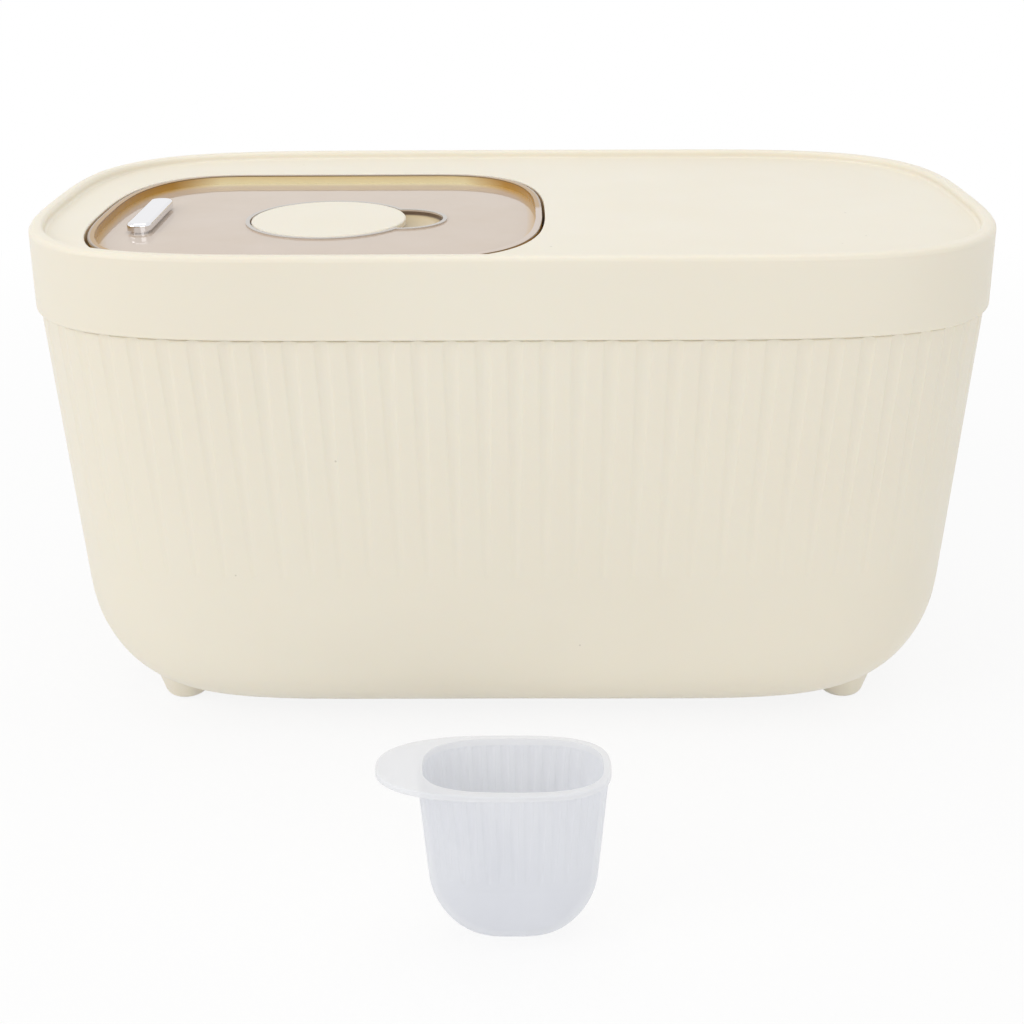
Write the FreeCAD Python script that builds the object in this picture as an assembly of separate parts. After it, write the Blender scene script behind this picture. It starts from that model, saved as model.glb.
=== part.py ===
"""Pet food storage container with a flip lid, a drying-agent holder and a measuring cup.

Sizes are in millimetres. The pieces are drawn with the middle of the bin at x = 0, y = 0 and the
floor at z = 0. Just before they are written they all move along y, so that the middle of the
whole set, bin and cup together, stands at the origin.
"""
import FreeCAD, Part
import math
import os

os.makedirs("parts", exist_ok=True)

# Whole container
container_length = 400.0
container_depth = 214.0
container_height = 216.5
corner_run_x = 165.0
corner_run_y = 105.5
corner_powers = (4.7, 3.1)

# Bin
seam_height = 183.5
base_height = 6.0
bin_wall = 2.6
body_step = 0.9
body_draft = 10.7
side_base_radius = 52.0
front_base_radius = 30.0
base_corner_powers = (5.3, 4.1)
bowl_straight = 14.0
shoulder_blend = 9.0
shoulder_depth = 4.0
shoulder_edge_radius = 0.8
neck_wall = 2.4
neck_height = 20.4

# Flutes pressed into the bin below its shoulder
flute_pitch = 12.1
flute_width = 6.4
flute_depth = 0.6
flute_end_depth = 0.1
flute_fade_height = 80.0
flute_run_past = 4.0

# Feet
foot_x = 150.2
foot_y = 56.0
foot_radius = 9.0
foot_top_radius = 16.0
foot_root_height = 24.0
foot_edge_radius = 4.0
pad_radius = 4.4
pad_thickness = 1.8
pad_stand_out = 0.6
pad_pocket_gap = 0.2

# Cover
cover_gap = 0.6
skirt_wall = 2.6
skirt_flare = 0.8
skirt_edge_radius = 0.6
skirt_neck_gap = 0.5
rim_width = 5.5
rim_height = 3.4
rim_outer_radius = 2.2
rim_inner_radius = 1.6
deck_corner_radius = 1.2
deck_edge_radius = 0.5
deck_thickness = 2.8
plug_wall = 2.0
plug_neck_gap = 0.6
plug_depth = 20.0

# Gasket between the cover and the neck of the bin
gasket_neck_gap = 0.3
gasket_side_gap = 0.2

# Opening in the deck, and its lid
opening_centre_x = -80.9
opening_centre_y = -16.0
opening_length = 189.8
opening_depth = 159.0
opening_corner_run = 54.0
opening_power = 2.8
curb_wall = 2.2
ledge_width = 6.0
ledge_thickness = 2.2
ledge_end_from_hinge = 12.0
lid_gap = 1.1
lid_wall = 2.8
lid_dish_depth = 3.6
lid_panel_thickness = 2.4
lid_edge_radius = 0.5
seal_width = 3.2
seal_thickness = 2.2
seal_inset = 0.6
seal_gap = 0.3

# Lid hinge
hinge_from_end = 42.0
hinge_below_deck = 3.0
hinge_pin_radius = 1.3
hinge_running_gap = 0.05
hinge_pin_in_lid = 2.0
hinge_pin_in_cover = 4.0
hinge_pin_end_gap = 0.3
hinge_boss_radius = 3.0
hinge_boss_wall = 0.7

# Drying-agent holder and its cap
cap_x = -78.6
cap_radius = 33.0
cap_thickness = 2.3
cap_edge_radius = 0.8
cap_seat_gap = 0.3
cap_side_gap = 0.6
cap_plug_wall = 2.2
cap_plug_depth = 6.0
cap_plug_gap = 0.6
cap_seal_groove = 0.9
cap_seal_height = 1.8
cap_seal_above_end = 1.6
cap_seal_gap = 0.3
well_ring_width = 1.8
well_ring_height = 0.6
cap_overhang = 2.0
holder_flange_width = 2.4
holder_flange_thickness = 1.6
holder_wall = 1.6
holder_depth = 21.0
holder_side_gap = 0.5
holder_edge_radius = 2.0
holder_seat_drop = 3.4
holder_seat_thickness = 2.6
vent_count = 8
vent_width = 2.4
vent_length = 11.0
vent_inner_radius = 7.0
sachet_radius = 22.0
sachet_height = 11.0
sachet_edge_radius = 4.5
finger_recess_radius = 17.0
finger_recess_overlap = 1.0
finger_recess_wall = 1.4
finger_recess_depth = 4.6
finger_recess_floor = 1.5

# Pull handle
handle_x = -155.0
handle_length = 51.0
handle_width = 10.0
handle_height = 4.4
handle_foot_height = 1.2
handle_foot_inset = 1.4
handle_corner_radius = 4.2
handle_corner_powers = (2.0, 2.0)
handle_top_radius = 1.4
handle_screw_spacing = 30.0
handle_screw_radius = 1.25
handle_screw_gap = 0.1
handle_screw_head_radius = 2.6
handle_screw_head_height = 1.6
handle_screw_reach = 2.4

# Measuring cup
cup_x = 0.7
cup_from_bin = 113.8
cup_length = 67.4
cup_depth = 38.0
cup_height = 68.4
cup_wall = 2.0
cup_power = 2.8
cup_base_power = 3.3
cup_draft = 5.2
cup_side_base_radius = 26.0
cup_front_base_radius = 11.0
cup_flute_pitch = 5.1
cup_flute_width = 3.4
cup_flute_depth = 0.4
cup_flute_end_depth = 0.08
cup_flute_fade_height = 30.0
cup_rim_thickness = 2.4
cup_rim_width = 0.6
cup_rim_radius = 0.7
cup_handle_length = 13.6
cup_handle_power = 2.3

# Counts and small distances that only serve the drawing
corner_steps = 8
corner_halvings = 40
least_straight = 0.5
base_angles = (0.0, 12.0, 26.0, 40.0, 55.0, 72.0, 90.0)
rim_angles = (0.0, 30.0, 60.0, 90.0)
cut_past = 1.0
level_tolerance = 0.01
wire_tolerance = 0.05

# Heights and places that follow from the sizes above
rim_top = container_height
deck_top = rim_top - rim_height
bowl_top = base_height + side_base_radius + bowl_straight
deck_bottom = deck_top - deck_thickness
neck_outer_inset = skirt_wall + skirt_neck_gap
neck_inner_inset = neck_outer_inset + neck_wall
neck_top = seam_height + neck_height
plug_outer_inset = neck_inner_inset + plug_neck_gap
plug_bottom = deck_bottom - plug_depth
panel_top = deck_top - lid_dish_depth
panel_bottom = panel_top - lid_panel_thickness
ledge_top = panel_bottom - seal_thickness - seal_gap
ledge_bottom = ledge_top - ledge_thickness
hinge_x = opening_centre_x + opening_length / 2.0 - hinge_from_end
hinge_z = deck_top - hinge_below_deck
cap_y = opening_centre_y
holder_seat = panel_top - holder_seat_drop
holder_flange_top = holder_seat + holder_flange_thickness
holder_flange_radius = cap_radius - cap_overhang
holder_radius = holder_flange_radius - holder_flange_width
holder_inner_radius = holder_radius - holder_wall
holder_bottom = holder_seat - holder_depth
cap_bottom = holder_flange_top + cap_seat_gap
cap_plug_radius = holder_inner_radius - cap_plug_gap
cap_seal_bottom = cap_bottom - cap_plug_depth + cap_seal_above_end
well_radius = cap_radius + cap_side_gap
recess_x = cap_x + cap_radius - finger_recess_overlap
cup_y = -(container_depth / 2.0 + cup_from_bin)


def vector(x, y, z=0.0):
    return FreeCAD.Vector(x, y, z)


def clean(shape):
    """The one solid left after adding and cutting, without leftover edges."""
    return shape.removeSplitter().Solids[0]


def corner_point(run_x, run_y, powers, angle):
    """A point of one superelliptic corner, measured from the corner's own centre.

    On the corner (x / run_x) ** powers[0] + (y / run_y) ** powers[1] is 1. The point lies on a ray
    at the angle, and its reach along the ray is found by halving.
    """
    c = abs(math.cos(angle))
    s = abs(math.sin(angle))
    low, high = 0.0, 2.0
    for _ in range(corner_halvings):
        reach = (low + high) / 2.0
        if (reach * c) ** powers[0] + (reach * s) ** powers[1] > 1.0:
            high = reach
        else:
            low = reach
    return run_x * c * reach, run_y * s * reach


def outline(half_x, half_y, run_x, run_y, powers, z, centre=(0.0, 0.0)):
    """A closed outline: straight sides joined by four superelliptic corners."""
    run_x = min(run_x, half_x - least_straight)
    run_y = min(run_y, half_y - least_straight)
    steps = [math.radians(90.0 * i / corner_steps) for i in range(corner_steps + 1)]
    quarter = [corner_point(run_x, run_y, powers, angle) for angle in steps]
    quarter = [(half_x - run_x + x, half_y - run_y + y) for x, y in quarter]
    corners = []
    for sign_x, sign_y in ((1, 1), (-1, 1), (-1, -1), (1, -1)):
        points = [vector(centre[0] + sign_x * x, centre[1] + sign_y * y, z) for x, y in quarter]
        if sign_x * sign_y < 0:
            points.reverse()
        corners.append(points)
    along = (vector(0, 1), vector(-1, 0), vector(0, -1), vector(1, 0))
    edges = []
    for i, points in enumerate(corners):
        curve = Part.BSplineCurve()
        curve.interpolate(points, InitialTangent=along[i], FinalTangent=along[(i + 1) % 4])
        edges.append(curve.toShape())
        after = corners[(i + 1) % 4]
        edges.append(Part.LineSegment(points[-1], after[0]).toShape())
    return Part.Wire(edges)


def body_outline(inset, z, side_inset=0.0, front_inset=0.0, powers=corner_powers):
    """The container's outline, drawn in by an inset, and by a further one on each pair of sides."""
    return outline(
        container_length / 2.0 - inset - side_inset,
        container_depth / 2.0 - inset - front_inset,
        corner_run_x - inset - side_inset,
        corner_run_y - inset - front_inset,
        powers,
        z,
    )


def opening_outline(inset, z):
    """The outline of the opening in the deck, drawn in by an inset."""
    half_x = opening_length / 2.0 - inset
    half_y = opening_depth / 2.0 - inset
    run_x = opening_corner_run - inset
    powers = (opening_power, opening_power)
    return outline(half_x, half_y, run_x, half_y, powers, z, (opening_centre_x, opening_centre_y))


def prism(wire, height):
    return Part.Face(wire).extrude(vector(0, 0, height))


def ruled(wires):
    """A solid with straight walls from each outline to the next."""
    return Part.makeLoft(wires, True, True)


def ring(outer_wire, inner_wire, height):
    return prism(outer_wire, height).cut(prism(inner_wire, height))


def cylinder(radius, bottom, top, x, y):
    return Part.makeCylinder(radius, top - bottom, vector(x, y, bottom))


def level_edges(shape, z):
    """The edges of a shape that lie flat at a height."""
    found = []
    for edge in shape.Edges:
        box = edge.BoundBox
        if abs(box.ZMin - z) < level_tolerance and abs(box.ZMax - z) < level_tolerance:
            found.append(edge)
    return found


def edges_on(shape, wire):
    """The edges of a shape whose middles lie on a flat wire."""
    found = []
    for edge in level_edges(shape, wire.BoundBox.ZMin):
        middle = edge.valueAt((edge.FirstParameter + edge.LastParameter) / 2.0)
        if wire.distToShape(Part.Vertex(middle))[0] < wire_tolerance:
            found.append(edge)
    return found


def round_nosed_bar(radius, length, start, along):
    """A round bar from a point in a direction, with a half ball at its start."""
    nose = vector(0, 0, -radius)
    slant = radius / math.sqrt(2.0)
    edges = [
        Part.Arc(nose, vector(slant, 0, -slant), vector(radius, 0, 0)).toShape(),
        Part.LineSegment(vector(radius, 0, 0), vector(radius, 0, length)).toShape(),
        Part.LineSegment(vector(radius, 0, length), vector(0, 0, length)).toShape(),
        Part.LineSegment(vector(0, 0, length), nose).toShape(),
    ]
    bar = Part.Face(Part.Wire(edges)).revolve(vector(0, 0), vector(0, 0, 1), 360.0)
    bar.Placement = FreeCAD.Placement(start, FreeCAD.Rotation(vector(0, 0, 1), along))
    return bar


def groove_tools(high, low, pitch, width, depths, side, half_step, run_past):
    """Long round tools for grooves between two outlines, with one depth at the high and one at the low.

    They stand outside the wall for a side of 1, and inside it for a side of -1. They run past the
    high outline by the length given last, and end at the low one in a rounded tip.
    """
    depth, end_depth = depths
    radius = (width ** 2 / 4.0 + depth ** 2) / (2.0 * depth)
    count = 4 * max(round(high.Length / pitch / 4.0), 1)
    first = 1 if half_step else 0
    tops = high.discretize(Number=2 * count + 1)
    feet = low.discretize(Number=2 * count + 1)
    tools = []
    for i in range(first, 2 * count, 2):
        along = tops[i + 1] - tops[i - 1 if i else 2 * count - 1]
        outward = vector(along.y, -along.x).normalize() * side
        start = feet[i] + outward * (radius - end_depth)
        run = tops[i] + outward * (radius - depth) - start
        tools.append(round_nosed_bar(radius, run.Length + run_past, start, run))
    return tools


def base_inset(radius, rise):
    """How far a rounded bottom edge draws the wall in, at a rise above the bottom."""
    if rise >= radius:
        return 0.0
    return radius - math.sqrt(radius ** 2 - (radius - rise) ** 2)


def draft_inset(z):
    """How far the bin's wall leans in at a height."""
    return body_draft * (seam_height - z) / (seam_height - base_height)


def wall_outline(wall, z, side_inset=0.0, front_inset=0.0):
    """The bin's outline at a height, outside, or inside when a wall is given."""
    share = (seam_height - z) / (seam_height - base_height)
    powers = [high + (low - high) * share for high, low in zip(corner_powers, base_corner_powers)]
    return body_outline(body_step + wall + draft_inset(z), z, side_inset, front_inset, powers)


def bin_bowl(wall):
    """The rounded lower part of the bin, outside, or inside when a wall is given."""
    side_radius = side_base_radius - wall
    front_radius = front_base_radius - wall
    sections = []
    for angle in base_angles:
        rise = side_radius * (1.0 - math.cos(math.radians(angle)))
        side_inset = base_inset(side_radius, rise)
        front_inset = base_inset(front_radius, rise)
        sections.append(wall_outline(wall, base_height + wall + rise, side_inset, front_inset))
    for share in (0.5, 1.0):
        sections.append(wall_outline(wall, bowl_top + (share - 1.0) * bowl_straight))
    return Part.makeLoft(sections, True, False)


def bin_walls(wall, top):
    """The straight, leaning part of the bin from the bowl up to a height."""
    return ruled([wall_outline(wall, bowl_top), wall_outline(wall, top)])


def foot_centres():
    return [(sx * foot_x, sy * foot_y) for sy in (-1, 1) for sx in (-1, 1)]


def make_foot(x, y):
    """A rounded nub that runs up into the bowl."""
    foot = Part.makeCone(foot_radius, foot_top_radius, foot_root_height, vector(x, y, pad_stand_out))
    return foot.makeFillet(foot_edge_radius, level_edges(foot, pad_stand_out))


def make_bin():
    """The tapered, fluted tub with its shoulder, neck and four moulded feet."""
    walls = bin_walls(0.0, seam_height)
    walls = walls.makeFillet(shoulder_edge_radius, level_edges(walls, seam_height))
    high = wall_outline(0.0, seam_height)
    low = wall_outline(0.0, flute_fade_height)
    depths = (flute_depth, flute_end_depth)
    walls = walls.cut(groove_tools(high, low, flute_pitch, flute_width, depths, 1, False, flute_run_past))
    neck = prism(body_outline(neck_outer_inset, seam_height - cut_past), neck_height + cut_past)
    feet = [make_foot(x, y) for x, y in foot_centres()]
    body = bin_bowl(0.0).fuse([walls, neck] + feet)
    blend_bottom = seam_height - shoulder_depth - shoulder_blend
    mouth = ruled(
        [
            wall_outline(bin_wall, blend_bottom),
            body_outline(neck_inner_inset, seam_height - shoulder_depth),
            body_outline(neck_inner_inset, neck_top + cut_past),
        ]
    )
    body = body.cut(bin_bowl(bin_wall).fuse([bin_walls(bin_wall, blend_bottom), mouth]))
    pocket_radius = pad_radius + pad_pocket_gap
    pockets = [cylinder(pocket_radius, -cut_past, pad_thickness, x, y) for x, y in foot_centres()]
    return clean(body.cut(pockets))


def make_pad(x, y):
    """A soft anti-slip disc set in the underside of a foot."""
    return cylinder(pad_radius, 0.0, pad_thickness, x, y)


def cover_shell():
    """The skirt, the rounded rim and the sunk deck."""
    bottom = seam_height + cover_gap
    skirt = ruled([body_outline(-skirt_flare, bottom), body_outline(0.0, rim_top)])
    skirt = skirt.makeFillet(rim_outer_radius, level_edges(skirt, rim_top))
    skirt = skirt.makeFillet(skirt_edge_radius, level_edges(skirt, bottom))
    room = prism(body_outline(skirt_wall, bottom - cut_past), deck_bottom - bottom + cut_past)
    dish = prism(body_outline(rim_width, deck_top), rim_height + cut_past)
    dish = dish.makeFillet(deck_corner_radius, level_edges(dish, deck_top))
    shell = skirt.cut([room, dish])
    return shell.makeFillet(rim_inner_radius, edges_on(shell, body_outline(rim_width, rim_top)))


def opening_walls():
    """The curb that hangs round the opening, and the ledge that the lid's seal closes on."""
    middle = (deck_top + deck_bottom) / 2.0
    curb = ring(
        opening_outline(-curb_wall, ledge_bottom),
        opening_outline(0.0, ledge_bottom),
        middle - ledge_bottom,
    )
    ledge = ring(
        opening_outline(-curb_wall, ledge_bottom),
        opening_outline(ledge_width, ledge_bottom),
        ledge_thickness,
    )
    ledge_end = hinge_x - ledge_end_from_hinge
    corner = vector(ledge_end - container_length, -container_depth, ledge_bottom)
    kept = Part.makeBox(container_length, 2.0 * container_depth, ledge_thickness, corner)
    inside_plug = prism(body_outline(plug_outer_inset, ledge_bottom), deck_top - ledge_bottom)
    return curb.fuse(ledge.common(kept)).common(inside_plug)


def make_cover():
    """The cover: deep skirt, raised rim, sunk deck, curb round the opening and plug ring."""
    shell = cover_shell()
    shell = shell.cut(prism(opening_outline(0.0, plug_bottom), deck_top - plug_bottom + cut_past))
    shell = shell.makeFillet(deck_edge_radius, edges_on(shell, opening_outline(0.0, deck_top)))
    plug = ring(
        body_outline(plug_outer_inset, plug_bottom),
        body_outline(plug_outer_inset + plug_wall, plug_bottom),
        (deck_top + deck_bottom) / 2.0 - plug_bottom,
    )
    plug = plug.cut(prism(opening_outline(0.0, plug_bottom), deck_top - plug_bottom))
    shell = shell.fuse([plug, opening_walls()] + [hinge_boss(side) for side in (-1, 1)])
    return clean(shell.cut([hinge_rod(side, hinge_pin_radius, cut_past) for side in (-1, 1)]))


def hinge_edge(side):
    """Where the opening's edge crosses the hinge axis, in front for -1 and behind for 1."""
    reach = vector(hinge_x, opening_centre_y + side * opening_depth, 0.0)
    line = Part.LineSegment(vector(hinge_x, opening_centre_y, 0.0), reach).toShape()
    return opening_outline(0.0, 0.0).distToShape(line)[1][0][0].y


def hinge_rod(side, radius, extra_in=0.0):
    """A rod on the hinge axis, as long as a hinge pin, or a little longer on the lid's side."""
    inner = hinge_edge(side) - side * (lid_gap + hinge_pin_in_lid + extra_in)
    length = lid_gap + hinge_pin_in_lid + extra_in + hinge_pin_in_cover
    return Part.makeCylinder(radius, length, vector(hinge_x, inner, hinge_z), vector(0, side, 0))


def hinge_boss(side):
    """The round boss under the deck that holds a hinge pin."""
    start = vector(hinge_x, hinge_edge(side) - side * cut_past, hinge_z)
    length = hinge_pin_in_cover + hinge_boss_wall + cut_past
    boss = Part.makeCylinder(hinge_boss_radius, length, start, vector(0, side, 0))
    reach = 2.0 * hinge_boss_radius
    opening = prism(opening_outline(0.0, hinge_z - reach), 2.0 * reach)
    above = Part.makeBox(
        2.0 * hinge_boss_radius,
        container_depth,
        hinge_boss_radius,
        vector(hinge_x - hinge_boss_radius, -container_depth / 2.0, (deck_top + deck_bottom) / 2.0),
    )
    return boss.cut([opening, above])


def make_gasket():
    """The soft ring in the cover that closes on the neck of the bin."""
    bottom = neck_top + gasket_neck_gap
    return ring(
        body_outline(skirt_wall + gasket_side_gap, bottom),
        body_outline(plug_outer_inset - gasket_side_gap, bottom),
        deck_bottom - bottom,
    ).Solids[0]


def finger_recess(radius_extra, floor_extra, top):
    """A round-bottomed scoop at the edge of the cap, or its thicker outside."""
    radius = finger_recess_radius + radius_extra
    bottom = panel_top - finger_recess_depth - floor_extra
    dip = finger_recess_depth - finger_recess_wall
    scoop = (finger_recess_radius ** 2 + dip ** 2) / (2.0 * dip)
    ball_centre = vector(recess_x, cap_y, panel_top - finger_recess_depth + scoop)
    ball = Part.makeSphere(scoop + floor_extra, ball_centre)
    return cylinder(radius, bottom, top, recess_x, cap_y).common(ball)


def lid_dish():
    """The lid's rim wall and its sunk panel."""
    outer = prism(opening_outline(lid_gap, panel_bottom), deck_top - panel_bottom)
    outer = outer.makeFillet(lid_edge_radius, level_edges(outer, deck_top))
    return outer.cut(prism(opening_outline(lid_gap + lid_wall, panel_top), lid_dish_depth + cut_past))


def make_lid():
    """The clear, dished flip lid with its seat for the holder and its finger recess."""
    seat_bottom = holder_seat - holder_seat_thickness
    ring_top = panel_top + well_ring_height
    boss = cylinder(well_radius + well_ring_width, seat_bottom, ring_top, cap_x, cap_y)
    lid = lid_dish().fuse([boss, finger_recess(well_ring_width, finger_recess_floor, ring_top)])
    past = deck_top + cut_past
    seat = cylinder(holder_flange_radius + holder_side_gap, seat_bottom, past, cap_x, cap_y)
    well = cylinder(well_radius, holder_seat, past, cap_x, cap_y)
    hole = cylinder(holder_radius + holder_side_gap, holder_bottom, past, cap_x, cap_y)
    lid = lid.cut([well, hole, finger_recess(0.0, 0.0, past).cut(seat)])
    bore = hinge_pin_radius + hinge_running_gap
    lid = lid.cut([hinge_rod(side, bore, hinge_pin_end_gap) for side in (-1, 1)])
    hole_radius = handle_screw_radius + handle_screw_gap
    screw_holes = [cylinder(hole_radius, panel_bottom, panel_top, x, y) for x, y in handle_screw_places()]
    return clean(lid.cut(screw_holes))


def make_lid_seal():
    """The soft ring under the lid that closes on the ledge."""
    bottom = panel_bottom - seal_thickness
    inset = lid_gap + seal_inset
    return ring(
        opening_outline(inset, bottom),
        opening_outline(inset + seal_width, bottom),
        seal_thickness,
    ).Solids[0]


def make_holder():
    """The clear cup for the drying agent, hung in the lid by its flange, with slots to breathe."""
    cup = cylinder(holder_radius, holder_bottom, holder_flange_top, cap_x, cap_y)
    cup = cup.makeFillet(holder_edge_radius, level_edges(cup, holder_bottom)[:1])
    flange = cylinder(holder_flange_radius, holder_seat, holder_flange_top, cap_x, cap_y)
    floor = holder_bottom + holder_wall
    inside = cylinder(holder_inner_radius, floor, holder_flange_top + cut_past, cap_x, cap_y)
    slots = []
    for i in range(vent_count):
        corner = vector(vent_inner_radius, -vent_width / 2.0, holder_bottom - cut_past)
        slot = Part.makeBox(vent_length, vent_width, holder_wall + 2.0 * cut_past, corner)
        slot.rotate(vector(0, 0), vector(0, 0, 1), 360.0 * i / vent_count)
        slot.translate(vector(cap_x, cap_y))
        slots.append(slot)
    return clean(cup.fuse(flange).cut([inside] + slots))


def make_sachet():
    """The bag of drying agent that lies in the holder."""
    floor = holder_bottom + holder_wall
    bag = cylinder(sachet_radius, floor, floor + sachet_height, cap_x, cap_y)
    rounded = level_edges(bag, floor) + level_edges(bag, floor + sachet_height)
    return bag.makeFillet(sachet_edge_radius, rounded)


def make_cap():
    """The round cap over the holder, lifted out by the finger recess."""
    top = cap_bottom + cap_thickness
    plate = cylinder(cap_radius, cap_bottom, top, cap_x, cap_y)
    plate = plate.makeFillet(cap_edge_radius, level_edges(plate, top))
    plug_end = cap_bottom - cap_plug_depth
    plug = cylinder(cap_plug_radius, plug_end, cap_bottom, cap_x, cap_y)
    bore = cylinder(cap_plug_radius - cap_plug_wall, plug_end, cap_bottom, cap_x, cap_y)
    seal_top = cap_seal_bottom + cap_seal_height
    groove = cylinder(cap_plug_radius + cut_past, cap_seal_bottom, seal_top, cap_x, cap_y)
    core = cylinder(cap_plug_radius - cap_seal_groove, cap_seal_bottom, seal_top, cap_x, cap_y)
    return clean(plate.fuse(plug.cut([bore, groove.cut(core)])))


def make_cap_seal():
    """The soft ring in the groove of the cap's plug."""
    top = cap_seal_bottom + cap_seal_height
    outer = cylinder(holder_inner_radius - cap_seal_gap, cap_seal_bottom, top, cap_x, cap_y)
    inner = cylinder(cap_plug_radius - cap_seal_groove, cap_seal_bottom, top, cap_x, cap_y)
    return clean(outer.cut(inner))


def handle_screw_places():
    return [(handle_x, opening_centre_y + side * handle_screw_spacing / 2.0) for side in (-1, 1)]


def bar_outline(inset, z):
    """The handle's outline, a bar with well rounded corners."""
    half_x = handle_width / 2.0 - inset
    half_y = handle_length / 2.0 - inset
    run = handle_corner_radius - inset
    return outline(half_x, half_y, run, run, handle_corner_powers, z, (handle_x, opening_centre_y))


def make_handle():
    """The polished pull bar: a rounded bar on a slightly smaller foot."""
    top = panel_top + handle_height
    bar = prism(bar_outline(0.0, panel_top + handle_foot_height), handle_height - handle_foot_height)
    bar = bar.makeFillet(handle_top_radius, level_edges(bar, top))
    foot = prism(bar_outline(handle_foot_inset, panel_top), handle_foot_height)
    reach = panel_top + handle_screw_reach
    holes = [cylinder(handle_screw_radius, panel_top, reach, x, y) for x, y in handle_screw_places()]
    return clean(bar.fuse(foot).cut(holes))


def make_handle_screws():
    """Two screws from under the lid that hold the pull bar."""
    screws = []
    for x, y in handle_screw_places():
        shank = cylinder(handle_screw_radius, panel_bottom, panel_top + handle_screw_reach, x, y)
        head_bottom = panel_bottom - handle_screw_head_height
        head = cylinder(handle_screw_head_radius, head_bottom, panel_bottom, x, y)
        screws.append(clean(head.fuse(shank)))
    return Part.makeCompound(screws)


def cup_outline(inset, z, side_inset=0.0, front_inset=0.0, power=cup_power):
    """The measuring cup's outline, drawn in by an inset, and by a further one on each pair of sides."""
    half_x = cup_length / 2.0 - cup_rim_width - inset - side_inset
    half_y = cup_depth / 2.0 - cup_rim_width - inset - front_inset
    return outline(half_x, half_y, half_x, half_y, (power, power), z, (cup_x, cup_y))


def cup_wall_outline(wall, z, side_inset=0.0, front_inset=0.0):
    """The cup's outline at a height, outside, or inside when a wall is given."""
    share = (cup_height - z) / cup_height
    power = cup_power + (cup_base_power - cup_power) * share
    return cup_outline(wall + cup_draft * share, z, side_inset, front_inset, power)


def cup_form(wall, top):
    """The cup's outer form, or its inside when a wall is given."""
    side_radius = cup_side_base_radius - wall
    front_radius = cup_front_base_radius - wall
    sections = []
    for angle in base_angles:
        rise = side_radius * (1.0 - math.cos(math.radians(angle)))
        side_inset = base_inset(side_radius, rise)
        front_inset = base_inset(front_radius, rise)
        sections.append(cup_wall_outline(wall, wall + rise, side_inset, front_inset))
    bowl = Part.makeLoft(sections, True, False)
    return bowl, ruled([cup_wall_outline(wall, cup_side_base_radius), cup_wall_outline(wall, top)])


def cup_grooves(wall, side, half_step):
    """The shallow flutes round the cup, outside or inside, which end under the rim."""
    high = cup_wall_outline(wall, cup_height - cup_rim_thickness)
    low = cup_wall_outline(wall, cup_flute_fade_height)
    depths = (cup_flute_depth, cup_flute_end_depth)
    return groove_tools(high, low, cup_flute_pitch, cup_flute_width, depths, side, half_step, 0.0)


def handle_outline(inset, z):
    """The oval of the cup's flat handle, which takes in the whole rim."""
    half_x = (cup_length + cup_handle_length) / 2.0 - inset
    half_y = cup_depth / 2.0 - inset
    powers = (cup_handle_power, cup_handle_power)
    return outline(half_x, half_y, half_x, half_y, powers, z, (cup_x - cup_handle_length / 2.0, cup_y))


def rim_outline(inset, z):
    """The outer edge of the cup's rim."""
    return cup_outline(inset - cup_rim_width, z)


def rim_plate(plate_outline):
    """A flat plate at the cup's rim with its edges rounded over in short steps."""
    lower = []
    upper = []
    for angle in rim_angles:
        inset = cup_rim_radius * (1.0 - math.sin(math.radians(angle)))
        rise = cup_rim_radius * (1.0 - math.cos(math.radians(angle)))
        lower.append(plate_outline(inset, cup_height - cup_rim_thickness + rise))
        upper.append(plate_outline(inset, cup_height - rise))
    return ruled(lower + upper[::-1])


def cup_rim():
    """The thick rim, which runs on to one side as a flat handle."""
    return rim_plate(handle_outline).fuse(rim_plate(rim_outline))


def make_cup():
    """The measuring cup: rounded bottom, fluted wall, thick rim and a flat handle to one side."""
    bowl, walls = cup_form(0.0, cup_height - cup_rim_thickness / 2.0)
    walls = walls.cut(cup_grooves(0.0, 1, False))
    body = bowl.fuse(walls).fuse(cup_rim())
    inner_bowl, inner_walls = cup_form(cup_wall, cup_height + cut_past)
    cup = body.cut(inner_bowl.fuse(inner_walls))
    return clean(cup.cut(cup_grooves(cup_wall, -1, True)))


def all_pieces():
    """Every piece with its name."""
    pieces = {"bin": make_bin()}
    for place, (x, y) in zip(("front_left", "front_right", "back_left", "back_right"), foot_centres()):
        pieces["foot_pad_" + place] = make_pad(x, y)
    pieces["cover"] = make_cover()
    pieces["cover_gasket"] = make_gasket()
    pieces["hinge_pin_front"] = hinge_rod(-1, hinge_pin_radius)
    pieces["hinge_pin_back"] = hinge_rod(1, hinge_pin_radius)
    pieces["lid"] = make_lid()
    pieces["lid_seal"] = make_lid_seal()
    pieces["pull_handle"] = make_handle()
    pieces["handle_screws"] = make_handle_screws()
    pieces["desiccant_holder"] = make_holder()
    pieces["desiccant_sachet"] = make_sachet()
    pieces["desiccant_cap"] = make_cap()
    pieces["cap_seal"] = make_cap_seal()
    pieces["measuring_cup"] = make_cup()
    return pieces


def describe(name, shape):
    """One line about a piece: its solids, its volume and its corners."""
    box = shape.optimalBoundingBox(True, False)
    corners = [round(v, 2) for v in (box.XMin, box.XMax, box.YMin, box.YMax, box.ZMin, box.ZMax)]
    print(name, len(shape.Solids), shape.isValid(), round(shape.Volume / 1000.0, 2), "cm3", corners)


def main():
    back = container_depth / 2.0 + skirt_flare
    pieces = all_pieces()
    front = pieces["measuring_cup"].optimalBoundingBox(True, False).YMin
    to_middle = vector(0, -(back + front) / 2.0)
    for name, shape in pieces.items():
        shape.translate(to_middle)
        shape.exportStep("parts/" + name + ".step")
        describe(name, shape)
    print("moved along y by", round(to_middle.y, 4))


main()
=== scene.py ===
import math

import bmesh
import bpy
from mathutils import Matrix, Vector


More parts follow.
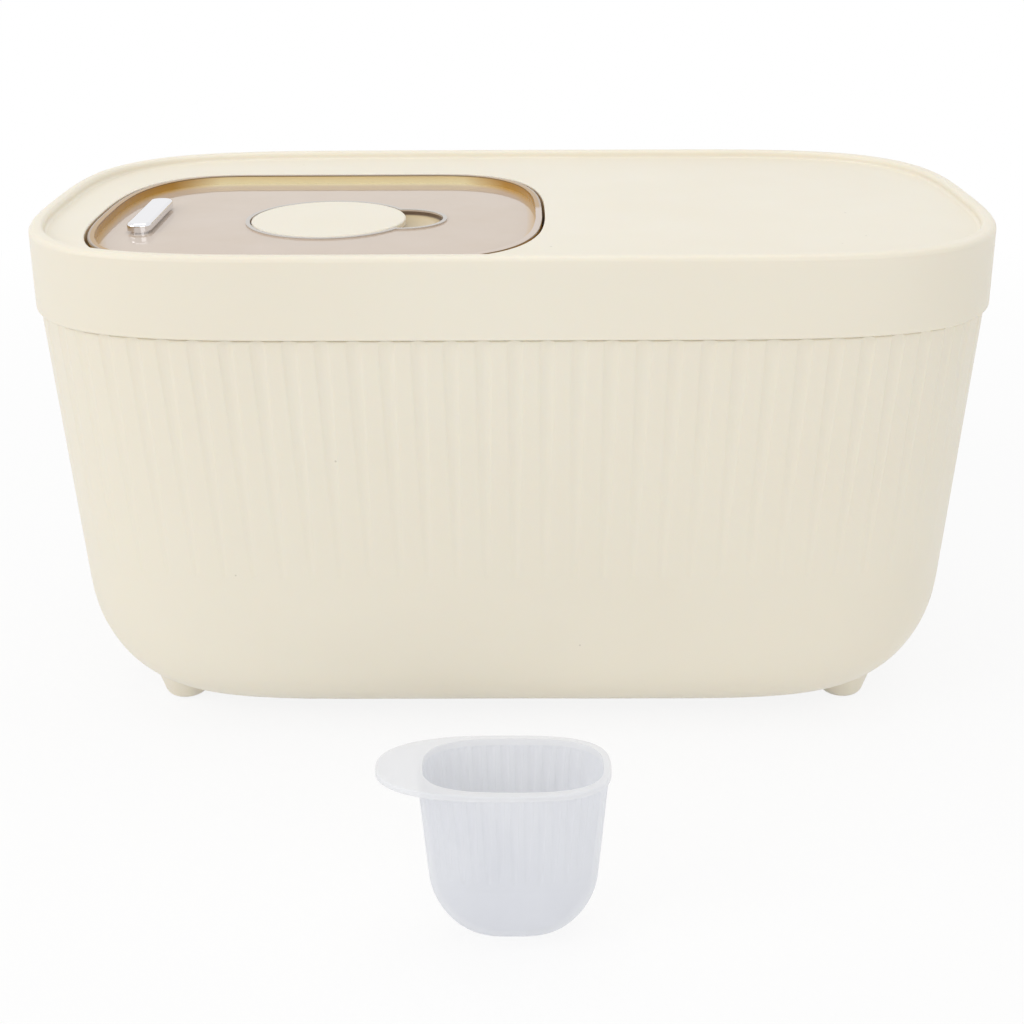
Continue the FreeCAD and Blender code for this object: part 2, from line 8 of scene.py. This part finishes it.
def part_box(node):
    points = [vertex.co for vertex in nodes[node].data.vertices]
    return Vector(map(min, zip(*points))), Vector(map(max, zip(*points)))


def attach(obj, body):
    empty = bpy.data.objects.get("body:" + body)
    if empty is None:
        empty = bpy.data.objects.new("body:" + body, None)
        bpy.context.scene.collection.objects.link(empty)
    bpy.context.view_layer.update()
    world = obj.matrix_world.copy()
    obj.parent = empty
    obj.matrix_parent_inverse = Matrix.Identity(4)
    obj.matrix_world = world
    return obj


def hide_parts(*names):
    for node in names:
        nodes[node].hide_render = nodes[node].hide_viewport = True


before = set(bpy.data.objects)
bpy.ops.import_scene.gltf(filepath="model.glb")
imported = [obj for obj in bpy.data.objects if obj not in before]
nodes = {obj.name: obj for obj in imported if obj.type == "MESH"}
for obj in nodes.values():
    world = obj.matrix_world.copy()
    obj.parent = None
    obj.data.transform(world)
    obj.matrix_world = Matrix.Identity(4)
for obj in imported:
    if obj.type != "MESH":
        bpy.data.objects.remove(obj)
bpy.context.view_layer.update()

MM = 0.001

# The container's middle on the floor, and the places that the materials need
cover_low, cover_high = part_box("cover")
middle = Vector(((cover_low.x + cover_high.x) / 2.0, (cover_low.y + cover_high.y) / 2.0, 0.0))
lid_low, lid_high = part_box("lid")
lid_middle = (lid_low + lid_high) / 2.0
lid_half = (lid_high - lid_low) / 2.0
lid_top = lid_high.z
cap_low, cap_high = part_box("desiccant_cap")
cup_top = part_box("measuring_cup")[1].z
panel_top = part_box("pull_handle")[0].z

# Camera: where it stands from the container's middle, and how it looks
FRAME_PIXELS = 1024
FOCAL_PIXELS = 1500.0
SENSOR_WIDTH = 36.0
CAMERA_PLACE = Vector((3.74, -655.0, 357.33)) * MM
CAMERA_PITCH = 0.42008
CAMERA_HEADING = 0.00683
CAMERA_ROLL = -0.005

# The lid's outline and finger recess, as the lid itself has them, and the cup's thick rim
LID_CORNER_RUN = 52.9 * MM
LID_POWER = 2.8
RECESS_RADIUS = 17.0 * MM
RECESS_OVERLAP = 1.0 * MM
CUP_RIM = 2.4 * MM

# Where the painted golden light of the lid's round ends (light caught in the tinted rim) begins and is
# full, inwards from the ends
END_START = 36.0 * MM
END_FULL = 16.0 * MM

# Share of light that goes straight through each see-through plastic
LID_CLEAR = 0.16
HOLDER_CLEAR = 0.68
CUP_CLEAR = 0.42
CUP_TRANSLUCENT = 0.2

# The sachet: how finely it is drawn, its crimped edge, its gathers and its lumps
SACHET_AROUND = 144
SACHET_RINGS = 26
SACHET_CRIMPS = 36.0
SACHET_CRIMP = 0.012
SACHET_GATHERS = 18.0
SACHET_GATHER = 0.09
SACHET_GATHER_PLACE = 0.84
SACHET_GATHER_WIDTH = 0.12
SACHET_LUMP = 0.05
SACHET_FULLNESS = 0.94
SACHET_REACH = 0.985
SACHET_SHEET = 0.25 * MM

# The floor: its colour in shadowless light, and how white the camera sees it near the container and far off
FLOOR_COLOUR = (0.9, 0.9, 0.9, 1.0)
FLOOR_HALF = 6.0
FLOOR_DROP = 0.2 * MM
FLOOR_NEAR = 0.35
FLOOR_FAR = 0.9
FLOOR_NEAR_WHITE = 0.86
WHITE = (1.0, 1.0, 1.0, 1.0)

# Colours of the photographed surfaces, as they show on a screen
CREAM = (240, 233, 216)
CREAM_WARM = (238, 230, 212)
LID_PANEL = (226, 209, 193)
LID_PANEL_WARM = (221, 202, 182)
# Painted reflection of the rim wall on the panel's edge band; the second colour also carries painted golden
# light at the round ends
PAINTED_RIM_REFLECTION = (254, 243, 204)
PAINTED_RIM_REFLECTION_AND_END_LIGHT = (226, 186, 108)
RIM_PALE = (254, 242, 203)
RIM_TAN = (243, 222, 172)
# The next two, and CROWN_GOLD_TINT_AND_PAINTED_LIGHT, are the rim's amber tint with painted golden light,
# used at the round ends
RIM_GOLD_TINT_AND_PAINTED_LIGHT = (207, 162, 76)
RIM_AMBER_TINT_AND_PAINTED_LIGHT = (190, 140, 56)
RIM_BROWN = (132, 108, 70)
RIM_CROWN = (190, 170, 148)
CROWN_GOLD_TINT_AND_PAINTED_LIGHT = (194, 152, 84)
RING_GREY = (212, 207, 200)
# Painted shade on the finger recess's upright wall; its floor is tan
RECESS_WALL_PAINTED_SHADE = (122, 104, 88)
RECESS_TAN = (226, 207, 168)
FROST = (249, 250, 253)
FROST_SHADE = (245, 246, 250)
FROST_RIM = (252, 252, 253)
SILICONE = (236, 234, 229)
PAD_GREY = (196, 190, 178)
PAPER = (240, 239, 236)
PAPER_SHADE = (224, 222, 216)
SPECK = (150, 138, 116)
CHROME = (232, 232, 235)
STEEL = (186, 186, 190)
HOLDER = (232, 230, 224)
HOLDER_TINT = (246, 245, 240)
PANEL_TINT = (240, 230, 216)
RIM_TINT = (222, 184, 112)
CUP_TINT = (250, 251, 253)

# Strength of the even light from all round
WORLD_LIGHT = 0.624

# Lamps: name, place from the point they look at, size, and watts. That point is this far above the floor.
AIM_HEIGHT = 0.12
LAMPS = (
    ("key_left", (-1.5, -0.9, 1.0), (1.2, 1.0), 9.0),
    ("front_fill", (0.9, -1.9, 0.45), (2.0, 1.0), 6.5),
    ("top_soft", (0.0, 0.1, 1.8), (1.6, 1.2), 8.5),
)


def linear(colour):
    """A screen colour of 0 to 255 as the linear colour that a shader takes."""
    parts = []
    for value in colour:
        share = value / 255.0
        parts.append(share / 12.92 if share <= 0.04045 else ((share + 0.055) / 1.055) ** 2.4)
    return (parts[0], parts[1], parts[2], 1.0)


class Shader:
    """A material's node tree, with short ways to add nodes and to join them."""

    def __init__(self, name):
        self.material = bpy.data.materials.new(name)
        self.material.use_nodes = True
        self.tree = self.material.node_tree
        self.tree.nodes.clear()
        self.output = self.add("ShaderNodeOutputMaterial")

    def add(self, kind, **values):
        """Adds a node and sets its own properties."""
        node = self.tree.nodes.new(kind)
        for key, value in values.items():
            setattr(node, key, value)
        return node

    def put(self, node, **sockets):
        """Sets sockets by name, to a value or to another node's output."""
        for key, value in sockets.items():
            socket = node.inputs[key.replace("_", " ")]
            if isinstance(value, bpy.types.NodeSocket):
                self.tree.links.new(value, socket)
            else:
                socket.default_value = value
        return node

    def principled(self, **sockets):
        return self.put(self.add("ShaderNodeBsdfPrincipled"), **sockets)

    def surface(self, node):
        self.tree.links.new(node.outputs[0], self.output.inputs["Surface"])

    def place(self):
        """The position on the piece, in metres, the same at every pose."""
        return self.add("ShaderNodeTexCoord").outputs["Object"]

    def noise(self, scale, detail=2.0, roughness=0.5):
        node = self.add("ShaderNodeTexNoise")
        return self.put(node, Vector=self.place(), Scale=scale, Detail=detail, Roughness=roughness)

    def spread(self, value, low, high, start=0.0, end=1.0):
        """Maps a value from start..end to low..high."""
        node = self.add("ShaderNodeMapRange", clamp=True)
        self.put(node, Value=value)
        node.inputs["From Min"].default_value = start
        node.inputs["From Max"].default_value = end
        node.inputs["To Min"].default_value = low
        node.inputs["To Max"].default_value = high
        return node.outputs["Result"]

    def cloudy(self, value, low=0.0, high=1.0):
        """Stretches a noise, which stays mostly between 0.3 and 0.7, to low..high."""
        return self.spread(value, low, high, 0.3, 0.7)

    def blend(self, share, first, second):
        """Mixes two colours: the first at a share of 0, the second at 1."""
        node = self.add("ShaderNodeMix", data_type="RGBA")
        for socket, value in zip((node.inputs[0], node.inputs[6], node.inputs[7]), (share, first, second)):
            if isinstance(value, bpy.types.NodeSocket):
                self.tree.links.new(value, socket)
            else:
                socket.default_value = value
        return node.outputs[2]

    def bump(self, height, distance, strength=1.0):
        """A normal that follows a height, whose full step is so many metres."""
        node = self.add("ShaderNodeBump")
        self.put(node, Height=height, Distance=distance, Strength=strength)
        return node.outputs["Normal"]

    def mix(self, share, first, second):
        """Mixes two surfaces: the first at a share of 0, the second at 1."""
        node = self.add("ShaderNodeMixShader")
        if isinstance(share, bpy.types.NodeSocket):
            self.tree.links.new(share, node.inputs[0])
        else:
            node.inputs[0].default_value = share
        self.tree.links.new(first.outputs[0], node.inputs[1])
        self.tree.links.new(second.outputs[0], node.inputs[2])
        return node

    def sum(self, first, second, operation="ADD"):
        """Adds two values, or joins them by another operation."""
        node = self.add("ShaderNodeMath", operation=operation)
        for socket, value in zip(node.inputs, (first, second)):
            if isinstance(value, bpy.types.NodeSocket):
                self.tree.links.new(value, socket)
            else:
                socket.default_value = value
        return node.outputs[0]


def cream_plastic():
    """Satin moulded plastic: faint flow marks, a fine grain and a few tiny dark specks."""
    s = Shader("cream_plastic")
    flow = s.noise(7.0, 3.0).outputs["Fac"]
    colour = s.blend(s.cloudy(flow), linear(CREAM), linear(CREAM_WARM))
    specks = s.add("ShaderNodeTexVoronoi", feature="F1")
    s.put(specks, Vector=s.place(), Scale=38.0)
    speck = s.spread(specks.outputs["Distance"], 0.35, 0.0, 0.012, 0.022)
    colour = s.blend(speck, colour, linear(SPECK))
    grain = s.noise(2600.0, 2.0).outputs["Fac"]
    waves = s.noise(60.0, 2.0).outputs["Fac"]
    height = s.sum(s.sum(grain, 0.25, "MULTIPLY"), waves)
    shine = s.cloudy(s.noise(30.0, 2.0).outputs["Fac"], 0.36, 0.46)
    skin = s.principled(
        Base_Color=colour,
        Roughness=shine,
        Normal=s.bump(height, 0.00012, 0.35),
        IOR=1.49,
        Subsurface_Weight=0.12,
        Subsurface_Scale=0.004,
        Subsurface_Radius=(1.0, 0.7, 0.4),
    )
    s.surface(skin)
    return s.material


def lid_edge_share(s, x, y):
    """1 at the lid's outer edge and less inside it, from the outline's own straights and round corners."""
    along = s.sum(s.sum(x, lid_middle.x, "SUBTRACT"), 0.0, "ABSOLUTE")
    past = s.sum(s.sum(along, lid_half.x - LID_CORNER_RUN, "SUBTRACT"), 0.0, "MAXIMUM")
    across = s.sum(s.sum(y, lid_middle.y, "SUBTRACT"), 0.0, "ABSOLUTE")
    first = s.sum(s.sum(past, LID_CORNER_RUN, "DIVIDE"), LID_POWER, "POWER")
    second = s.sum(s.sum(across, lid_half.y, "DIVIDE"), LID_POWER, "POWER")
    return along, s.sum(s.sum(first, second), 1.0 / LID_POWER, "POWER")


def painted_end_light_share(s, along):
    """Share of painted golden light: 0 along the lid's sides and 1 at its round ends."""
    return s.spread(along, 0.0, 1.0, lid_half.x - END_START, lid_half.x - END_FULL)


def rim_colour(s, height, along, edge, right_front):
    """The lid's rim: amber tint with painted golden light at its round ends, paler along its sides, with a
    thin brown top edge.
    """
    # ends: share of painted golden light, full at the round ends
    ends = painted_end_light_share(s, along)
    low = s.blend(ends, linear(RIM_PALE), linear(RIM_GOLD_TINT_AND_PAINTED_LIGHT))
    high = s.blend(ends, linear(RIM_TAN), linear(RIM_AMBER_TINT_AND_PAINTED_LIGHT))
    wall = s.blend(s.spread(height, 0.0, 1.0, panel_top + 0.6 * MM, lid_top - 0.6 * MM), low, high)
    corner = s.spread(height, 0.0, 1.0, lid_top - 0.5 * MM, lid_top - 0.3 * MM)
    wall = s.blend(corner, wall, linear(RIM_BROWN))
    inner = s.blend(ends, linear(RIM_BROWN), linear(CROWN_GOLD_TINT_AND_PAINTED_LIGHT))
    crown = s.blend(s.spread(edge, 0.0, 1.0, 0.978, 0.984), inner, linear(RIM_CROWN))
    crown = s.blend(s.spread(edge, 0.0, 1.0, 0.991, 0.994), crown, linear(RIM_BROWN))
    crown = s.blend(right_front, crown, linear(LID_PANEL))
    return s.blend(s.spread(height, 0.0, 1.0, lid_top - 0.12 * MM, lid_top - 0.04 * MM), wall, crown)


def recess_colour(s, height, panel):
    """The finger recess: its upright edge painted brown as shade, round a tan floor, and the panel's colour
    elsewhere.
    """
    distance = s.add("ShaderNodeVectorMath", operation="DISTANCE")
    flat = s.add("ShaderNodeVectorMath", operation="MULTIPLY")
    s.tree.links.new(s.place(), flat.inputs[0])
    flat.inputs[1].default_value = (1.0, 1.0, 0.0)
    s.tree.links.new(flat.outputs[0], distance.inputs[0])
    distance.inputs[1].default_value = (cap_high.x - RECESS_OVERLAP, (cap_low.y + cap_high.y) / 2.0, 0.0)
    near = s.spread(distance.outputs["Value"], 1.0, 0.0, RECESS_RADIUS + 0.2 * MM, RECESS_RADIUS + 0.3 * MM)
    below = s.spread(height, 1.0, 0.0, panel_top - 0.3 * MM, panel_top - 0.1 * MM)
    deep = s.spread(height, 1.0, 0.0, panel_top - 1.9 * MM, panel_top - 1.5 * MM)
    # The recess's upright wall gets painted shade; the floor is tan
    inside = s.blend(deep, linear(RECESS_WALL_PAINTED_SHADE), linear(RECESS_TAN))
    return s.blend(s.sum(near, below, "MULTIPLY"), panel, inside)


def amber_clear():
    """Tinted see-through plastic: pale panel, amber rim, with painted golden light, reflection and recess
    shade.
    """
    s = Shader("amber_clear")
    parts = s.add("ShaderNodeSeparateXYZ")
    s.put(parts, Vector=s.place())
    height = parts.outputs["Z"]
    along, edge = lid_edge_share(s, parts.outputs["X"], parts.outputs["Y"])
    cloud = s.noise(26.0, 3.0).outputs["Fac"]
    panel = s.blend(s.cloudy(cloud), linear(LID_PANEL), linear(LID_PANEL_WARM))
    # Painted golden light at the rim's round ends
    ends = painted_end_light_share(s, along)
    # Painted reflection: the panel's band along the rim is lightened as if it mirrored the rim wall
    painted_rim_reflection = s.blend(ends, linear(PAINTED_RIM_REFLECTION), linear(PAINTED_RIM_REFLECTION_AND_END_LIGHT))
    panel = s.blend(s.spread(edge, 0.0, 1.0, 0.875, 0.955), panel, painted_rim_reflection)
    panel = recess_colour(s, height, panel)
    raised = s.spread(height, 0.0, 1.0, panel_top + 0.1 * MM, panel_top + 0.4 * MM)
    outer = s.spread(edge, 0.0, 1.0, 0.8, 0.85)
    to_right = s.spread(parts.outputs["X"], 0.0, 1.0, lid_middle.x, lid_middle.x + 30 * MM)
    to_front = s.spread(parts.outputs["Y"], 1.0, 0.0, lid_middle.y + 4 * MM, lid_middle.y + 9 * MM)
    right_front = s.sum(to_right, to_front, "MULTIPLY")
    upper = s.blend(outer, linear(RING_GREY), rim_colour(s, height, along, edge, right_front))
    colour = s.blend(raised, panel, upper)
    ripple = s.noise(90.0, 1.0).outputs["Fac"]
    body = s.principled(
        Base_Color=colour,
        Roughness=0.05,
        IOR=1.5,
        Normal=s.bump(ripple, 0.00006, 0.3),
    )
    clear = s.add("ShaderNodeBsdfTransparent")
    in_rim = s.sum(raised, outer, "MULTIPLY")
    s.put(clear, Color=s.blend(in_rim, linear(PANEL_TINT), linear(RIM_TINT)))
    s.surface(s.mix(LID_CLEAR, body, clear))
    return s.material


def polished_chrome():
    """Bright plated metal with the faint unevenness of a polished cast bar."""
    s = Shader("polished_chrome")
    waves = s.noise(120.0, 2.0).outputs["Fac"]
    s.surface(
        s.principled(
            Base_Color=linear(CHROME),
            Metallic=1.0,
            Roughness=s.cloudy(waves, 0.05, 0.1),
            Normal=s.bump(waves, 0.00004, 0.3),
        )
    )
    return s.material


def steel():
    """Plain steel with fine turning marks."""
    s = Shader("steel")
    grain = s.noise(1800.0, 3.0).outputs["Fac"]
    s.surface(
        s.principled(
            Base_Color=linear(STEEL),
            Metallic=1.0,
            Roughness=s.cloudy(grain, 0.25, 0.4),
            Normal=s.bump(grain, 0.00002, 0.4),
        )
    )
    return s.material


def holder_clear():
    """Clear plastic with moulding waves."""
    s = Shader("holder_clear")
    waves = s.noise(80.0, 2.0).outputs["Fac"]
    body = s.principled(
        Base_Color=linear(HOLDER),
        Roughness=s.cloudy(waves, 0.08, 0.16),
        Normal=s.bump(waves, 0.0001, 0.4),
        IOR=1.49,
    )
    clear = s.add("ShaderNodeBsdfTransparent")
    clear.inputs["Color"].default_value = linear(HOLDER_TINT)
    s.surface(s.mix(HOLDER_CLEAR, body, clear))
    return s.material


def soft_rubber(name, colour, roughness):
    """Soft moulded rubber with a fine matt skin."""
    s = Shader(name)
    grain = s.noise(1500.0, 3.0).outputs["Fac"]
    tone = s.noise(45.0, 2.0).outputs["Fac"]
    darker = tuple(0.93 * part for part in linear(colour)[:3]) + (1.0,)
    s.surface(
        s.principled(
            Base_Color=s.blend(s.cloudy(tone), linear(colour), darker),
            Roughness=s.cloudy(grain, roughness - 0.06, roughness + 0.06),
            Normal=s.bump(grain, 0.00006, 0.5),
            Subsurface_Weight=0.1,
            Subsurface_Scale=0.002,
        )
    )
    return s.material


def sachet_paper():
    """Fibre paper, with a faint web of fibres and the bumps of the beads inside."""
    s = Shader("sachet_paper")
    fibres = s.noise(1400.0, 4.0, 0.7).outputs["Fac"]
    beads = s.add("ShaderNodeTexVoronoi", feature="SMOOTH_F1")
    s.put(beads, Vector=s.place(), Scale=420.0)
    bead = s.spread(beads.outputs["Distance"], 1.0, 0.0, 0.0, 0.6)
    height = s.sum(bead, s.sum(fibres, 0.35, "MULTIPLY"))
    s.surface(
        s.principled(
            Base_Color=s.blend(s.cloudy(fibres), linear(PAPER), linear(PAPER_SHADE)),
            Roughness=0.85,
            Normal=s.bump(height, 0.0004, 0.6),
            Sheen_Weight=0.2,
        )
    )
    return s.material


def frosted_plastic():
    """Frosted natural plastic that lets some light through."""
    s = Shader("frosted_plastic")
    cloud = s.noise(40.0, 3.0).outputs["Fac"]
    grain = s.noise(2200.0, 2.0).outputs["Fac"]
    colour = s.blend(s.cloudy(cloud), linear(FROST), linear(FROST_SHADE))
    parts = s.add("ShaderNodeSeparateXYZ")
    s.put(parts, Vector=s.place())
    rim_bottom = cup_top - CUP_RIM
    rim = s.spread(parts.outputs["Z"], 0.0, 1.0, rim_bottom, rim_bottom + 0.2 * MM)
    colour = s.blend(rim, colour, linear(FROST_RIM))
    normal = s.bump(grain, 0.00008, 0.4)
    skin = s.principled(
        Base_Color=colour,
        Roughness=s.cloudy(cloud, 0.3, 0.42),
        Normal=normal,
        IOR=1.49,
    )
    through = s.add("ShaderNodeBsdfTranslucent")
    s.put(through, Color=colour, Normal=normal)
    clear = s.add("ShaderNodeBsdfTransparent")
    clear.inputs["Color"].default_value = linear(CUP_TINT)
    s.surface(s.mix(CUP_CLEAR, s.mix(CUP_TRANSLUCENT, skin, through), clear))
    return s.material


def dress(material, *names):
    """Gives CAD nodes their finish."""
    for name in names:
        node = nodes[name]
        node.data.materials.clear()
        node.data.materials.append(material)


def make_materials():
    cream = cream_plastic()
    dress(cream, "bin", "cover", "desiccant_cap")
    dress(amber_clear(), "lid")
    dress(polished_chrome(), "pull_handle")
    dress(steel(), "handle_screws", "hinge_pin_front", "hinge_pin_back")
    dress(holder_clear(), "desiccant_holder")
    dress(soft_rubber("seal_rubber", SILICONE, 0.5), "cover_gasket", "lid_seal", "cap_seal")
    pads = [name for name in nodes if name.startswith("foot_pad")]
    dress(soft_rubber("pad_rubber", PAD_GREY, 0.75), *pads)
    dress(frosted_plastic(), "measuring_cup")


def sachet_point(radius, half_height, share, angle, side):
    """A point of the sachet's skin from its centre. The share is 0 in the middle and 1 at the edge."""
    crimp = 1.0 + SACHET_CRIMP * math.sin(SACHET_CRIMPS * angle) * share ** 6
    near_edge = math.exp(-((share - SACHET_GATHER_PLACE) / SACHET_GATHER_WIDTH) ** 2)
    gather = 1.0 - SACHET_GATHER * (0.5 + 0.5 * math.sin(SACHET_GATHERS * angle)) * near_edge
    dome = (1.0 - share ** 3.2) ** 0.8 * SACHET_FULLNESS * gather if share < 1.0 else 0.0
    lumps = 1.0 + SACHET_LUMP * math.sin(3.0 * angle + 0.7) * share * (1.0 - share)
    reach = radius * SACHET_REACH * share * crimp
    height = side * (half_height * dome * lumps + SACHET_SHEET)
    return Vector((reach * math.cos(angle), reach * math.sin(angle), height))


def make_sachet(material):
    """A round pillow of fibre paper with a pinched, crimped edge, in the place of the plain bag."""
    low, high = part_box("desiccant_sachet")
    centre = (low + high) / 2.0
    radius = (high.x - low.x) / 2.0
    half_height = (high.z - low.z) / 2.0
    mesh = bmesh.new()
    grid = []
    poles = []
    for side in (1, -1):
        layer = []
        for i in range(1, SACHET_RINGS + 1):
            circle = []
            for j in range(SACHET_AROUND):
                angle = 2.0 * math.pi * j / SACHET_AROUND
                point = sachet_point(radius, half_height, i / SACHET_RINGS, angle, side)
                circle.append(mesh.verts.new(centre + point))
            layer.append(circle)
        grid.append(layer)
    for side in (1, -1):
        poles.append(mesh.verts.new(centre + sachet_point(radius, half_height, 0.0, 0.0, side)))
    for side in (0, 1):
        for j in range(SACHET_AROUND):
            k = (j + 1) % SACHET_AROUND
            corner = [poles[side], grid[side][0][j], grid[side][0][k]]
            mesh.faces.new(corner if side == 0 else corner[::-1])
            for i in range(SACHET_RINGS - 1):
                face = [grid[side][i][j], grid[side][i + 1][j], grid[side][i + 1][k], grid[side][i][k]]
                mesh.faces.new(face if side == 0 else face[::-1])
    upper, under = grid[0][-1], grid[1][-1]
    for j in range(SACHET_AROUND):
        k = (j + 1) % SACHET_AROUND
        mesh.faces.new([upper[k], upper[j], under[j], under[k]])
    data = bpy.data.meshes.new("sachet_pillow")
    mesh.normal_update()
    mesh.to_mesh(data)
    mesh.free()
    data.materials.append(material)
    for face in data.polygons:
        face.use_smooth = True
    piece = bpy.data.objects.new("sachet_pillow", data)
    bpy.context.scene.collection.objects.link(piece)
    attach(piece, "lid")
    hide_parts("desiccant_sachet")
    return piece


def seen_directly(tree):
    """1 for rays of the camera, and for mirrored and passed-through ones, so that metal and glass agree."""
    path = tree.nodes.new("ShaderNodeLightPath")
    total = path.outputs["Is Camera Ray"]
    for ray in ("Is Glossy Ray", "Is Transmission Ray"):
        node = tree.nodes.new("ShaderNodeMath")
        node.use_clamp = True
        tree.links.new(total, node.inputs[0])
        tree.links.new(path.outputs[ray], node.inputs[1])
        total = node.outputs[0]
    return total


def make_floor():
    """A wide white floor that keeps the soft shadow of the object near it."""
    s = Shader("floor_white")
    plain = s.add("ShaderNodeBsdfDiffuse")
    plain.inputs["Color"].default_value = FLOOR_COLOUR
    white = s.add("ShaderNodeEmission")
    white.inputs["Color"].default_value = WHITE
    distance = s.add("ShaderNodeVectorMath", operation="DISTANCE")
    s.tree.links.new(s.place(), distance.inputs[0])
    distance.inputs[1].default_value = middle
    share = s.spread(distance.outputs["Value"], FLOOR_NEAR_WHITE, 1.0, FLOOR_NEAR, FLOOR_FAR)
    s.surface(s.mix(seen_directly(s.tree), plain, s.mix(share, plain, white)))
    half = FLOOR_HALF
    data = bpy.data.meshes.new("floor")
    corners = [(-half, -half, 0), (half, -half, 0), (half, half, 0), (-half, half, 0)]
    data.from_pydata(corners, [], [(0, 1, 2, 3)])
    data.materials.append(s.material)
    floor = bpy.data.objects.new("floor", data)
    bpy.context.scene.collection.objects.link(floor)
    floor.location.z = -FLOOR_DROP


def make_world():
    """White surroundings that also give the even part of the light."""
    world = bpy.data.worlds.new("studio")
    bpy.context.scene.world = world
    world.use_nodes = True
    tree = world.node_tree
    tree.nodes.clear()
    strengths = tree.nodes.new("ShaderNodeMapRange")
    tree.links.new(seen_directly(tree), strengths.inputs["Value"])
    strengths.inputs["To Min"].default_value = WORLD_LIGHT
    strengths.inputs["To Max"].default_value = 1.0
    light = tree.nodes.new("ShaderNodeBackground")
    light.inputs["Color"].default_value = WHITE
    tree.links.new(strengths.outputs["Result"], light.inputs["Strength"])
    output = tree.nodes.new("ShaderNodeOutputWorld")
    tree.links.new(light.outputs[0], output.inputs["Surface"])


def make_lamp(name, place, aim, size, power):
    """A soft box lamp that looks at a point."""
    lamp = bpy.data.lights.new(name, "AREA")
    lamp.shape = "RECTANGLE"
    lamp.size = size[0]
    lamp.size_y = size[1]
    lamp.energy = power
    holder = bpy.data.objects.new(name, lamp)
    bpy.context.scene.collection.objects.link(holder)
    holder.location = place
    holder.rotation_euler = (Vector(aim) - Vector(place)).to_track_quat("-Z", "Y").to_euler()


def make_lights():
    """The even light and the lamps round the container."""
    make_world()
    aim = middle + Vector((0.0, 0.0, AIM_HEIGHT))
    for name, offset, size, power in LAMPS:
        make_lamp(name, aim + Vector(offset), aim, size, power)


def make_camera():
    """The photograph's viewpoint: long lens, a little above the container."""
    data = bpy.data.cameras.new("camera")
    data.sensor_fit = "HORIZONTAL"
    data.sensor_width = SENSOR_WIDTH
    data.lens = SENSOR_WIDTH * FOCAL_PIXELS / FRAME_PIXELS
    data.clip_start = 0.01
    data.clip_end = 50.0
    camera = bpy.data.objects.new("camera", data)
    bpy.context.scene.collection.objects.link(camera)
    turn = Matrix.Rotation(CAMERA_HEADING, 4, "Z")
    tilt = Matrix.Rotation(math.pi / 2.0 - CAMERA_PITCH, 4, "X")
    roll = Matrix.Rotation(CAMERA_ROLL, 4, "Z")
    camera.matrix_world = Matrix.Translation(middle + CAMERA_PLACE) @ turn @ tilt @ roll
    bpy.context.scene.camera = camera


make_camera()
make_materials()
make_sachet(sachet_paper())
make_floor()
make_lights()
bpy.context.scene.view_settings.view_transform = "Standard"
